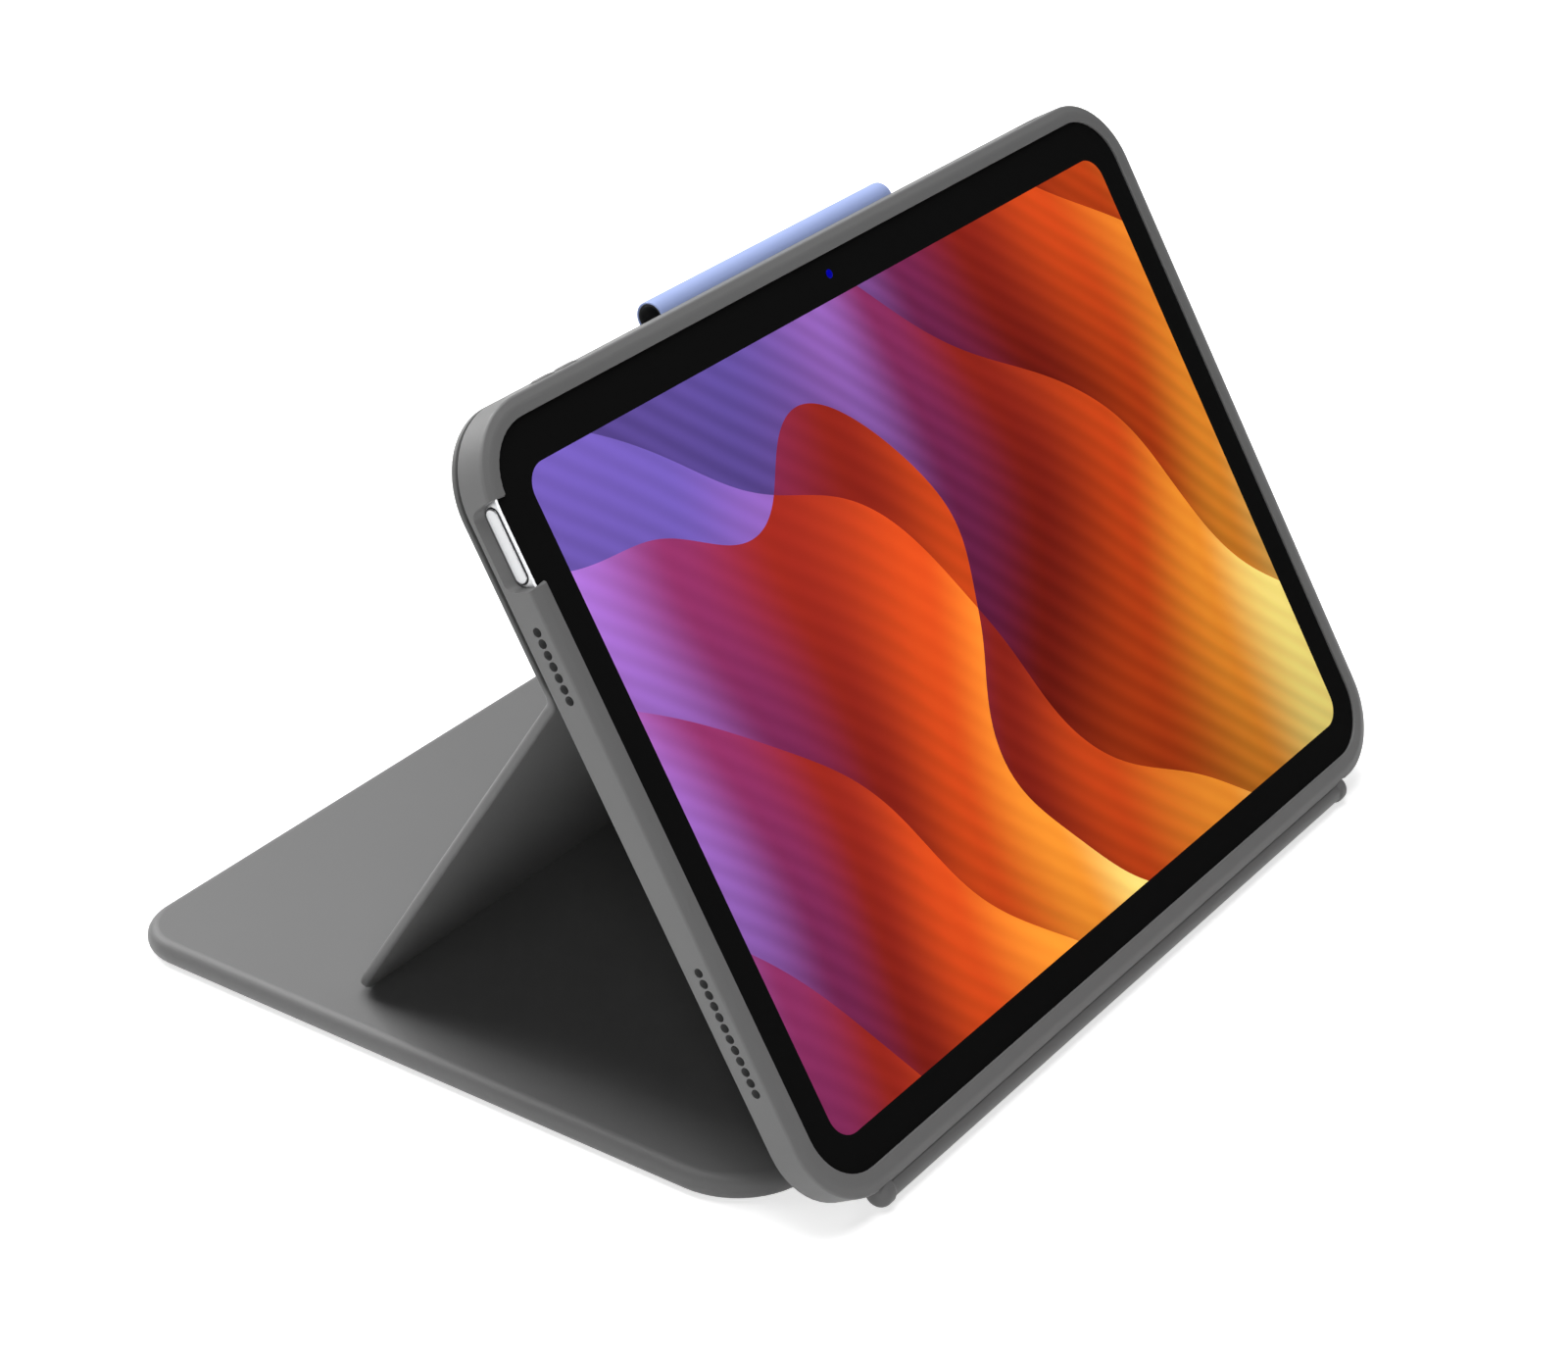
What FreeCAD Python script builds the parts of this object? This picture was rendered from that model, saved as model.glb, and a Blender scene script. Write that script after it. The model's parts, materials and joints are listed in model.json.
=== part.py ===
import FreeCAD, Part
import math
import os

# A folio keyboard case for a tablet, shown as it stands for watching: the tray with the tablet leans
# back, its kickstand flap stands on the keyboard deck, and the deck lies behind with its keys down.
# Millimetres. X runs along the width, +Y is away from the viewer, +Z is up, and the table is Z 0.

# Tablet that the case is made for
TABLET_W = 248.6
TABLET_H = 179.5
TABLET_T = 7.0
TABLET_R = 16.0
DISPLAY_W = 227.1
DISPLAY_H = 157.8
DISPLAY_R = 6.0
GLASS_T = 0.8
GLASS_INSET = 0.4

# Tray: local axes are X right, Y up the screen from the tray's bottom edge, Z out of the screen
TRAY_W = 253.1
TRAY_H = 186.2
TRAY_R = 19.3
TRAY_BACK_R = 0.3
TRAY_FLOOR = 0.7
LINING_T = 0.3
POCKET_GAP = 0.15
TABLET_BOTTOM = 3.0
LIP_SIDE = 4.95
LIP_LOW = 5.5
LIP_HIGH = 4.5
LIP_OPENING_R = 14.0
LIP_RISE = 0.7
LIP_SLOPE = 2.2
LIP_SLOPE_RISE = 0.7
LIP_RIDGE_R = 0.7
LIP_CREASE_R = 3.0
LIP_INNER_R = 0.25
GROOVE_DEPTH = 1.1
GROOVE_HEIGHT = 0.6
TILT_DEG = 59.44
TRAY_Y = -95.314
TRAY_Z = 1.879

# Keyboard deck, folded behind with its key side on the table
DECK_W = 255.0
DECK_FRONT = -84.2
DECK_REAR = 103.8
DECK_T = 6.0
DECK_R = 14.0
DECK_FRONT_R = 21.0
DECK_EDGE_R = 2.95
DECK_WALL = 3.7
DECK_TOP_T = 1.0

# Docking bar and the hinge strip between the bar and the deck
BAR_Y = -100.4
BAR_Z = 3.4
BAR_R = 2.9
BAR_END_R = 3.4
BAR_X = -1.7
BAR_HALF = 107.3
BAR_END_LEN = 4.0
STRIP_HALF = 98.5
STRIP_LOW = 0.9
STRIP_T = 1.2
STRIP_TO_FOLD = 5.1
FOLD_GAP = 0.3

# Kickstand flap: hinged on the tray's back, its foot stands on the deck
FLAP_AXIS_UP = 125.5
FLAP_AXIS_OUT = -2.2
FLAP_FOOT_UP = 2.1
FLAP_HALF_TOP = 124.5
FLAP_HALF_FOOT = 117.0
FLAP_T = 2.5
FLAP_EDGE_R = 1.15
FLAP_CORNER_R = 6.0
COVER_T = 1.6
COVER_INSET = 0.1

# Pencil loop on the upper edge of the back
LOOP_HALF = 45.5
LOOP_TOP_UP = 189.9
LOOP_HEIGHT = 15.0
LOOP_DEPTH = 7.6
LOOP_SKIN = 0.5
LOOP_LINING = 0.45

# Keys
KEY_PITCH = 16.4
KEY_GAP = 2.6
KEY_R = 1.8
KEY_TOP_Z = 0.6
KEY_T = 1.7
KEY_TRAVEL = 1.0
KEY_CLEAR = 0.4
FUNCTION_DEPTH = 9.0
ROW_UNITS = 14.5
KEYS_FROM_HINGE = 10.5
WELL_DEPTH = 1.3
WELL_MARGIN = 2.2
FRAME_T = 2.2
PAD_W = 100.0
PAD_H = 56.0
PAD_FROM_KEYS = 9.0

# Small features
BUTTON_LEN = 17.0
BUTTON_WIDTH = 3.4
BUTTON_UP = 159.4
BUTTON_OUT = 5.35
BUTTON_PROUD = 0.45
NOTCH_SILL = 5.8
NOTCH_HALF = 8.9
NOTCH_SLOPE = 0.7
NOTCH_CORNER_R = 2.6
NOTCH_INNER = 5.6
HOLE_R = 1.1
HOLE_OUT = 4.8
HOLE_STEP = 2.6
UPPER_HOLES = 7
UPPER_HOLES_UP = 133.1
LOWER_HOLES = 12
LOWER_HOLES_UP = 47.9
VOLUME_X = (-93.8, -85.9)
VOLUME_LEN = 6.2
VOLUME_WIDTH = 3.2
VOLUME_OUT = 4.4
CAMERA_X = -107.5
CAMERA_UP = 166.5
CAMERA_R = 6.5
LENS_R = 4.2
MIC_X = 97.5
MIC_LEN = 9.0
MIC_WIDTH = 1.4
PORT_OUT = 4.4
PORT_LEN = 8.9
PORT_WIDTH = 3.2
PORT_ROOM = 4.7
CONTACT_STEP = 4.2
CONTACT_R = 0.7
MAGNET_R = 4.0
BAR_MAGNET_LEN = 20.0
BAR_MAGNET_WIDTH = 3.0
FLAP_MAGNET_X = (-95, -35, 35, 95)
DECK_MAGNET_X = (-105, -70, 70, 105)

# Worked out from the sizes above
TABLET_BACK = TRAY_FLOOR + LINING_T
GLASS_FRONT = TABLET_BACK + TABLET_T
LIP_TOP = GLASS_FRONT + LIP_RISE
TRAY_MID = TRAY_H / 2
TABLET_MID = TABLET_BOTTOM + TABLET_H / 2
TABLET_TOP = TABLET_BOTTOM + TABLET_H
OPENING_W = TRAY_W - 2 * LIP_SIDE
OPENING_H = TRAY_H - LIP_LOW - LIP_HIGH
OPENING_MID = LIP_LOW + OPENING_H / 2
WALL_TOP = LIP_TOP - LIP_SLOPE_RISE
GLASS_W = TABLET_W - 2 * GLASS_INSET
GLASS_H = TABLET_H - 2 * GLASS_INSET
GLASS_R = TABLET_R - GLASS_INSET
DECK_H = DECK_REAR - DECK_FRONT
DECK_MID = (DECK_REAR + DECK_FRONT) / 2
DECK_AXIS_Y = DECK_FRONT + DECK_T / 2
DECK_AXIS_Z = DECK_T / 2
X_AXIS = FreeCAD.Vector(1, 0, 0)

os.makedirs("parts", exist_ok=True)


def vec(x, y, z):
    return FreeCAD.Vector(x, y, z)


def outline(width, height, radius, z, x=0.0, y=0.0, front=None):
    """Closed wire of a rectangle with round corners, level at height z and centred on x, y. The two
    corners towards the viewer take the radius front where it is given."""
    w, h = width / 2, height / 2
    corners = []
    for sx, sy in ((1, 1), (-1, 1), (-1, -1), (1, -1)):
        r = front if front and sy < 0 else radius
        turn = r * (1 - math.sqrt(0.5))
        beside = vec(x + sx * w, y + sy * (h - r), z)
        middle = vec(x + sx * (w - turn), y + sy * (h - turn), z)
        above = vec(x + sx * (w - r), y + sy * h, z)
        corners.append((beside, middle, above) if sx * sy > 0 else (above, middle, beside))
    edges = []
    for i, (start, middle, end) in enumerate(corners):
        edges.append(Part.Arc(start, middle, end).toShape())
        following = corners[(i + 1) % 4][0]
        if end.distanceToPoint(following) > 1e-6:
            edges.append(Part.LineSegment(end, following).toShape())
    return Part.Wire(edges)


def block(width, height, radius, z0, z1, x=0.0, y=0.0, front=None):
    """Upright prism on a rounded rectangle."""
    return Part.Face(outline(width, height, radius, z0, x, y, front)).extrude(vec(0, 0, z1 - z0))


def plate(outer, holes, thickness):
    """Flat plate from an outer wire, with the given wires left open."""
    return Part.makeFace([outer] + holes, "Part::FaceMakerBullseye").extrude(vec(0, 0, thickness))


def bar_x(x0, x1, y, z, radius):
    """Round bar along X."""
    return Part.makeCylinder(radius, x1 - x0, vec(x0, y, z), X_AXIS)


def pill_x(x0, x1, y, z, length, width):
    """Bar along X whose section is a pill that is long in Y."""
    shape = block(width, length, width / 2 - 0.001, x0, x1)
    shape.rotate(vec(0, 0, 0), vec(0, 1, 0), 90)
    shape.translate(vec(0, y, z))
    return shape


def pill_y(y0, y1, x, z, length, width):
    """Bar along Y whose section is a pill that is long in X."""
    shape = block(length, width, width / 2 - 0.001, -y1, -y0)
    shape.rotate(vec(0, 0, 0), X_AXIS, 90)
    shape.translate(vec(x, 0, z))
    return shape


def level_edges(shape, z):
    """Edges that lie wholly at height z."""
    return [e for e in shape.Edges if abs(e.BoundBox.ZMin - z) < 1e-4 and abs(e.BoundBox.ZMax - z) < 1e-4]


def lean(shape):
    """Takes a shape from the tray's own axes to where the tray stands."""
    leaned = shape.copy()
    leaned.rotate(vec(0, 0, 0), X_AXIS, TILT_DEG)
    leaned.translate(vec(0, TRAY_Y, TRAY_Z))
    return leaned


def tray_point(up, out):
    """Y and Z, standing, of a point given in the tray's own axes."""
    tilt = math.radians(TILT_DEG)
    y = TRAY_Y + up * math.cos(tilt) - out * math.sin(tilt)
    return y, TRAY_Z + up * math.sin(tilt) + out * math.cos(tilt)


def in_tray(y, z):
    """Up and out, in the tray's own axes, of a point of the standing case."""
    tilt = math.radians(TILT_DEG)
    dy, dz = y - TRAY_Y, z - TRAY_Z
    return dy * math.cos(tilt) + dz * math.sin(tilt), dz * math.cos(tilt) - dy * math.sin(tilt)


def save(node, shape):
    """Writes one node, after testing that each of its solids is sound."""
    for solid in shape.Solids:
        if not solid.isValid() or solid.Volume <= 0:
            raise ValueError("unsound solid in " + node)
    shape.exportStep("parts/" + node + ".step")
    print(node, len(shape.Solids), round(shape.Volume, 1))


def hole_rows():
    """Heights up the tray of the two rows of speaker holes."""
    rows = ((UPPER_HOLES, UPPER_HOLES_UP), (LOWER_HOLES, LOWER_HOLES_UP))
    return [up + HOLE_STEP * (i - (count - 1) / 2) for count, up in rows for i in range(count)]


def notch_wedge(low, half_floor, half_mouth, rise, way):
    """Prism on a trapezoid that stands upright inside the left lip, drawn out along the given way."""
    inner_x = -TRAY_W / 2 + NOTCH_INNER
    corners = [
        vec(inner_x, BUTTON_UP - half_floor, low),
        vec(inner_x, BUTTON_UP + half_floor, low),
        vec(inner_x, BUTTON_UP + half_mouth, low + rise),
        vec(inner_x, BUTTON_UP - half_mouth, low + rise),
    ]
    return Part.Face(Part.makePolygon(corners + corners[:1])).extrude(way)


def button_notch():
    """Finger scoop through the left wall and lip. Its sides flare, its sill falls outwards, and the lip's
    ends are bevelled."""
    reach = NOTCH_INNER + 3
    scoop = notch_wedge(NOTCH_SILL, NOTCH_HALF, NOTCH_HALF + 3, 16, vec(-reach, 0, -NOTCH_SLOPE * reach))
    fall = math.hypot(reach, NOTCH_SLOPE * reach)
    floor_edges = [e for e in scoop.Edges if abs(e.Length - fall) < 1e-6 and e.CenterOfMass.z < NOTCH_SILL]
    bevel = notch_wedge(WALL_TOP - 0.4, NOTCH_HALF + 0.2, NOTCH_HALF + 3.4, 4, vec(-reach, 0, 0))
    return scoop.makeFillet(NOTCH_CORNER_R, floor_edges), bevel


def tray_shell():
    """Shell with a groove along its back edge. Its wall turns over a ridge into a sloping band, which
    meets the flat lip round the screen in a soft crease."""
    wall = block(TRAY_W, TRAY_H, TRAY_R, GROOVE_HEIGHT, WALL_TOP, y=TRAY_MID)
    wall = wall.makeFillet(TRAY_BACK_R, level_edges(wall, GROOVE_HEIGHT))
    inset = 2 * GROOVE_DEPTH
    back = block(TRAY_W - inset, TRAY_H - inset, TRAY_R - GROOVE_DEPTH, 0, GROOVE_HEIGHT, y=TRAY_MID)
    slope = 2 * LIP_SLOPE
    slope_low = outline(TRAY_W, TRAY_H, TRAY_R, WALL_TOP, y=TRAY_MID)
    slope_top = outline(TRAY_W - slope, TRAY_H - slope, TRAY_R - LIP_SLOPE, LIP_TOP, y=TRAY_MID)
    shell = wall.fuse([back, Part.makeLoft([slope_low, slope_top], True, True)]).removeSplitter()
    shell = shell.makeFillet(LIP_RIDGE_R, level_edges(shell, WALL_TOP))
    shell = shell.makeFillet(LIP_CREASE_R, level_edges(shell, LIP_TOP))
    gap = 2 * POCKET_GAP
    pocket_r = TABLET_R + POCKET_GAP
    pocket_top = GLASS_FRONT + 0.05
    pocket = block(TABLET_W + gap, TABLET_H + gap, pocket_r, TRAY_FLOOR, pocket_top, y=TABLET_MID)
    opening = block(OPENING_W, OPENING_H, LIP_OPENING_R, GLASS_FRONT - 1, LIP_TOP + 1, y=OPENING_MID)
    shell = shell.cut([pocket, opening])
    inner_rim = [e for e in level_edges(shell, LIP_TOP) if abs(e.CenterOfMass.x) < OPENING_W / 2 + 0.01
                 and abs(e.CenterOfMass.y - OPENING_MID) < OPENING_H / 2 + 0.01]
    shell = shell.makeFillet(LIP_INNER_R, inner_rim)
    cuts = list(button_notch())
    for up in hole_rows():
        cuts.append(bar_x(-TRAY_W, -TABLET_W / 2 + 3, up, HOLE_OUT, HOLE_R))
        cuts.append(bar_x(TABLET_W / 2 - 3, TRAY_W, up, HOLE_OUT, HOLE_R))
    for x in VOLUME_X:
        cuts.append(pill_y(TABLET_TOP - 1, TRAY_H + 2, x, VOLUME_OUT, VOLUME_LEN + 0.7, VOLUME_WIDTH + 0.7))
    cuts.append(pill_y(TABLET_TOP - 1, TRAY_H + 2, MIC_X, VOLUME_OUT, MIC_LEN, MIC_WIDTH))
    port_len, port_width = PORT_LEN + PORT_ROOM, PORT_WIDTH + PORT_ROOM - 1.7
    cuts.append(pill_x(TABLET_W / 2 - 2, TRAY_W, TABLET_MID, PORT_OUT, port_len, port_width))
    cuts.append(Part.makeCylinder(CAMERA_R + 1.5, TRAY_FLOOR + 2, vec(CAMERA_X, CAMERA_UP, -1)))
    bar_up, bar_out = in_tray(BAR_Y, BAR_Z)
    inner = BAR_HALF - BAR_END_LEN
    cuts.append(bar_x(BAR_X - inner - 0.5, BAR_X + inner + 0.5, bar_up, bar_out, BAR_R + 0.05))
    for x0, x1 in ((-BAR_HALF - 0.1, -inner), (inner, BAR_HALF + 0.1)):
        cuts.append(bar_x(BAR_X + x0, BAR_X + x1, bar_up, bar_out, BAR_END_R + 0.05))
    cuts.append(pill_y(-3, TABLET_BOTTOM + 1, 0, bar_out, 16.0, 3.2))
    shell = lean(shell.cut(cuts))
    relief_half = STRIP_HALF + 1.5
    relief_top = STRIP_LOW + STRIP_T + FOLD_GAP + 0.05
    relief = Part.makeBox(2 * relief_half, 30, relief_top, vec(-relief_half, BAR_Y - 5, 0))
    return shell.cut(relief)


def back_cover():
    size = 2 * COVER_INSET
    cover = block(TRAY_W - size, TRAY_H - size, TRAY_R - COVER_INSET, -COVER_T, 0, y=TRAY_MID)
    cover = cover.makeFillet(0.6, level_edges(cover, -COVER_T))
    keep_from = FLAP_AXIS_UP + FLAP_T / 2 + FOLD_GAP
    half = Part.makeBox(TRAY_W, TRAY_H, COVER_T + 2, vec(-TRAY_W / 2, keep_from, -COVER_T - 1))
    window = Part.makeCylinder(CAMERA_R + 2.0, COVER_T + 2, vec(CAMERA_X, CAMERA_UP, -COVER_T - 1))
    return lean(cover.common(half).cut(window))


def tray_lining():
    lining = block(TABLET_W - 2, TABLET_H - 2, TABLET_R - 1, TRAY_FLOOR, TABLET_BACK, y=TABLET_MID)
    window = Part.makeCylinder(CAMERA_R + 1.5, 3, vec(CAMERA_X, CAMERA_UP, -1))
    return lean(lining.cut(window))


def loop_section(grow):
    """Pill section of the pencil loop drawn in by the given amount, as a bar along X."""
    mid_up = LOOP_TOP_UP - LOOP_HEIGHT / 2
    mid_out = -COVER_T - LOOP_DEPTH / 2
    return pill_x(-LOOP_HALF, LOOP_HALF, mid_up, mid_out, LOOP_HEIGHT - 2 * grow, LOOP_DEPTH - 2 * grow)


def pencil_loop():
    skin_in = loop_section(LOOP_SKIN)
    bore = loop_section(LOOP_SKIN + LOOP_LINING)
    return lean(loop_section(0).cut(skin_in)), lean(skin_in.cut(bore))


def tablet_body():
    """Metal body: a tub with a seat for the glass and recesses for the buttons, port and camera."""
    body = block(TABLET_W, TABLET_H, TABLET_R, TABLET_BACK, GLASS_FRONT - 0.05, y=TABLET_MID)
    body = body.makeFillet(1.5, level_edges(body, TABLET_BACK))
    body = body.makeChamfer(0.35, level_edges(body, GLASS_FRONT - 0.05))
    seat_low = GLASS_FRONT - GLASS_T
    seat = block(GLASS_W, GLASS_H, GLASS_R, seat_low, GLASS_FRONT, y=TABLET_MID)
    wall = 4.5
    inner_w, inner_h = TABLET_W - 2 * wall, TABLET_H - 2 * wall
    room = block(inner_w, inner_h, TABLET_R - wall, TABLET_BACK + 1.0, GLASS_FRONT, y=TABLET_MID)
    left = -TABLET_W / 2
    cuts = [seat, room]
    cuts.append(pill_x(left - 1, left + 2.1, BUTTON_UP, BUTTON_OUT, BUTTON_LEN + 0.5, BUTTON_WIDTH + 0.5))
    for x in VOLUME_X:
        cuts.append(pill_y(TABLET_TOP - 1.8, TABLET_TOP + 1, x, VOLUME_OUT, VOLUME_LEN, VOLUME_WIDTH - 0.4))
    cuts.append(pill_x(-left - 4, -left + 1, TABLET_MID, PORT_OUT, PORT_LEN, PORT_WIDTH))
    cuts.append(Part.makeCylinder(CAMERA_R, 4, vec(CAMERA_X, CAMERA_UP, TABLET_BACK - 1)))
    return lean(body.cut(cuts))


def front_discs():
    """Front camera lens and the two sensor windows beside it, as (x, radius)."""
    return (0.8, 1.0), (-4.6, 1.5), (4.9, 0.9)


def disc_in_glass(x, radius):
    up = (TABLET_TOP + TABLET_MID + DISPLAY_H / 2) / 2
    return Part.makeCylinder(radius, GLASS_T, vec(x, up, GLASS_FRONT - GLASS_T))


def tablet_glass():
    low = GLASS_FRONT - GLASS_T
    rim = outline(GLASS_W, GLASS_H, GLASS_R, low, y=TABLET_MID)
    window = outline(DISPLAY_W, DISPLAY_H, DISPLAY_R, low, y=TABLET_MID)
    glass = plate(rim, [window], GLASS_T)
    return lean(glass.cut([disc_in_glass(*disc) for disc in front_discs()]))


def tablet_display():
    return lean(block(DISPLAY_W, DISPLAY_H, DISPLAY_R, GLASS_FRONT - GLASS_T, GLASS_FRONT, y=TABLET_MID))


def rear_camera():
    base = vec(CAMERA_X, CAMERA_UP, TABLET_BACK - 1.4)
    mount = Part.makeCylinder(CAMERA_R, 2.4, base)
    return lean(mount.cut(Part.makeCylinder(LENS_R, 0.4, base)))


def power_button():
    left = -TABLET_W / 2
    cap = pill_x(left - BUTTON_PROUD, left + 1.6, BUTTON_UP, BUTTON_OUT, BUTTON_LEN, BUTTON_WIDTH)
    return lean(cap)


def volume_parts(x):
    """Moulded cover in the tray's top wall, and the tablet's key under it."""
    cover = pill_y(TABLET_TOP + 0.45, TRAY_H + 0.35, x, VOLUME_OUT, VOLUME_LEN, VOLUME_WIDTH)
    key = pill_y(TABLET_TOP - 1.2, TABLET_TOP + 0.45, x, VOLUME_OUT, VOLUME_LEN - 0.6, VOLUME_WIDTH - 1.0)
    return lean(cover), lean(key)


def magnet_places():
    """X of the middle of each magnet in the docking bar, clear of the contacts."""
    first, step = 24, 30
    return [side * (first + step * i) for side in (-1, 1) for i in range(3)]


def docking_bar():
    inner = BAR_HALF - BAR_END_LEN
    shell = bar_x(BAR_X - inner, BAR_X + inner, BAR_Y, BAR_Z, BAR_R)
    width = BAR_MAGNET_WIDTH
    rooms = []
    for x in magnet_places():
        corner = vec(x - BAR_MAGNET_LEN / 2, BAR_Y - width / 2, BAR_Z - width / 2)
        rooms.append(Part.makeBox(BAR_MAGNET_LEN, width, width, corner))
    ends = []
    for side in (-1, 1):
        start = BAR_X + min(side * inner, side * BAR_HALF)
        cap = bar_x(start, start + BAR_END_LEN, BAR_Y, BAR_Z, BAR_END_R)
        rims = [e for e in cap.Edges if isinstance(e.Curve, Part.Circle)]
        ends.append(cap.makeFillet(0.9, rims))
    return shell.cut(rooms), Part.makeCompound(rooms), Part.makeCompound(ends)


def contacts():
    """Block on the docking bar that fills the slot in the tray's bottom wall, and its contact studs."""
    bar_up, bar_out = in_tray(BAR_Y, BAR_Z)
    block_shape = pill_y(bar_up + 1.0, TABLET_BOTTOM - 0.5, 0, bar_out, 15.6, 2.8)
    block_shape = block_shape.cut(bar_x(-10, 10, bar_up, bar_out, BAR_R))
    foot = bar_up + BAR_R + 0.05
    pins = []
    for x in (-CONTACT_STEP, 0, CONTACT_STEP):
        start = vec(x, foot, bar_out)
        pins.append(Part.makeCylinder(CONTACT_R, TABLET_BOTTOM - foot, start, vec(0, 1, 0)))
    return lean(block_shape.cut(pins)), lean(Part.makeCompound(pins))


def hinge_strip():
    """Strip from the bar to short of the deck, which folds past square, and the ribbon cable in it."""
    depth = DECK_AXIS_Y - STRIP_TO_FOLD - BAR_Y
    strip = Part.makeBox(2 * STRIP_HALF, depth, STRIP_T, vec(-STRIP_HALF, BAR_Y, STRIP_LOW))
    strip = strip.cut(bar_x(-STRIP_HALF - 1, STRIP_HALF + 1, BAR_Y, BAR_Z, BAR_R + FOLD_GAP))
    cable_low = STRIP_LOW + STRIP_T / 2 - 0.15
    cable = Part.makeBox(24, depth, 0.3, vec(-12, BAR_Y, cable_low)).common(strip)
    return strip.cut(cable), cable


def trapezoid(inset, z0, z1):
    """Upright prism on the flap's outline, drawn in by the given inset, in the closed position."""
    slope = (FLAP_HALF_TOP - FLAP_HALF_FOOT) / (FLAP_AXIS_UP - FLAP_FOOT_UP)
    top, foot = FLAP_AXIS_UP - inset, FLAP_FOOT_UP + inset
    half_top = FLAP_HALF_TOP - inset - slope * inset
    half_foot = FLAP_HALF_FOOT - inset + slope * inset
    corners = [
        vec(-half_foot, foot, z0),
        vec(half_foot, foot, z0),
        vec(half_top, top, z0),
        vec(-half_top, top, z0),
    ]
    shape = Part.Face(Part.makePolygon(corners + corners[:1])).extrude(vec(0, 0, z1 - z0))
    posts = [e for e in shape.Edges if abs(e.Length - (z1 - z0)) < 1e-6 and e.CenterOfMass.y < foot + 1]
    return shape.makeFillet(max(FLAP_CORNER_R - inset, 1.0), posts)


def flap_open_angle():
    """Angle between tray and flap that puts the flap's foot just over the deck's outer face."""
    axis_z = tray_point(FLAP_AXIS_UP, FLAP_AXIS_OUT)[1]
    reach = FLAP_AXIS_UP - FLAP_FOOT_UP - FLAP_T / 2
    drop = axis_z - DECK_T - FOLD_GAP - FLAP_T / 2
    return 180 - TILT_DEG - math.degrees(math.asin(drop / reach))


def open_flap(shape):
    """Swings a flap piece from closed to where it stands."""
    opened = shape.copy()
    opened.rotate(vec(0, FLAP_AXIS_UP, FLAP_AXIS_OUT), X_AXIS, flap_open_angle())
    return lean(opened)


def kickstand():
    low, high = FLAP_AXIS_OUT - FLAP_T / 2, FLAP_AXIS_OUT + FLAP_T / 2
    slab = trapezoid(0, low, high)
    rims = level_edges(slab, low) + level_edges(slab, high)
    free_rims = [e for e in rims if e.CenterOfMass.y < FLAP_AXIS_UP - 1]
    slab = slab.makeFillet(FLAP_EDGE_R, free_rims)
    roll = bar_x(-FLAP_HALF_TOP, FLAP_HALF_TOP, FLAP_AXIS_UP, FLAP_AXIS_OUT, FLAP_T / 2)
    slab = slab.fuse(roll).removeSplitter()
    board_low, board_high = low + 0.8, high - 0.6
    room = trapezoid(3.0, board_low, high)
    inner_skin = trapezoid(3.0, board_high, high)
    magnets = []
    magnet_up = FLAP_FOOT_UP + 14
    for x in FLAP_MAGNET_X:
        magnets.append(Part.makeCylinder(MAGNET_R, board_high - board_low, vec(x, magnet_up, board_low)))
    board = trapezoid(3.0, board_low, board_high).cut(magnets)
    pieces = {"kickstand_outer_skin": slab.cut(room), "kickstand_inner_skin": inner_skin}
    pieces["kickstand_board"] = board
    pieces["kickstand_magnets"] = Part.makeCompound(magnets)
    return {node: open_flap(shape) for node, shape in pieces.items()}


def key_rows():
    """Key rows from the hinge towards the user: (depth, widths in key units, node of each key)."""
    upper = ["tab_key"] + ["upper_letter_keys"] * 13
    home = ["caps_key"] + ["home_letter_keys"] * 11 + ["return_key"]
    lower = ["left_shift_key"] + ["lower_letter_keys"] * 10 + ["right_shift_key"]
    arrows = ["arrow_left_key", "arrow_up_key", "arrow_right_key"]
    bottom = ["modifier_keys"] * 4 + ["space_bar"] + ["modifier_keys"] * 2 + arrows
    return [
        (FUNCTION_DEPTH, [ROW_UNITS / 14] * 14, ["function_keys"] * 14),
        (KEY_PITCH, [1] * 13 + [1.5], ["number_keys"] * 13 + ["delete_key"]),
        (KEY_PITCH, [1.5] + [1] * 13, upper),
        (KEY_PITCH, [1.75] + [1] * 11 + [1.75], home),
        (KEY_PITCH, [2.25] + [1] * 10 + [2.25], lower),
        (KEY_PITCH, [1, 1, 1, 1.25, 5, 1.25, 1, 1, 1, 1], bottom),
    ]


def key_places():
    """(node, x, y, width, depth) of every key. The up and down arrows share one place."""
    places = []
    y = DECK_FRONT + KEYS_FROM_HINGE
    for depth, widths, nodes in key_rows():
        x = -ROW_UNITS * KEY_PITCH / 2
        for units, node in zip(widths, nodes):
            wide = units * KEY_PITCH
            middle, size = y + depth / 2, depth - KEY_GAP
            if node == "arrow_up_key":
                half = (size - KEY_CLEAR) / 2 - 0.6
                offset = (size - half) / 2
                places.append(("arrow_up_key", x + wide / 2, middle - offset, wide - KEY_GAP, half))
                places.append(("arrow_down_key", x + wide / 2, middle + offset, wide - KEY_GAP, half))
            else:
                places.append((node, x + wide / 2, middle, wide - KEY_GAP, size))
            x += wide
        y += depth
    return places, y


def keys():
    """Keycaps by node: round corners and a softened touch face, which looks down at rest."""
    nodes = {}
    for node, x, y, width, depth in key_places()[0]:
        cap = block(width, depth, KEY_R, KEY_TOP_Z, KEY_TOP_Z + KEY_T, x, y)
        cap = cap.makeFillet(0.35, level_edges(cap, KEY_TOP_Z))
        nodes.setdefault(node, []).append(cap)
    return {node: Part.makeCompound(caps) for node, caps in nodes.items()}


def pad_place():
    """Y of the middle of the trackpad."""
    return key_places()[1] + PAD_FROM_KEYS + PAD_H / 2


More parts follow.
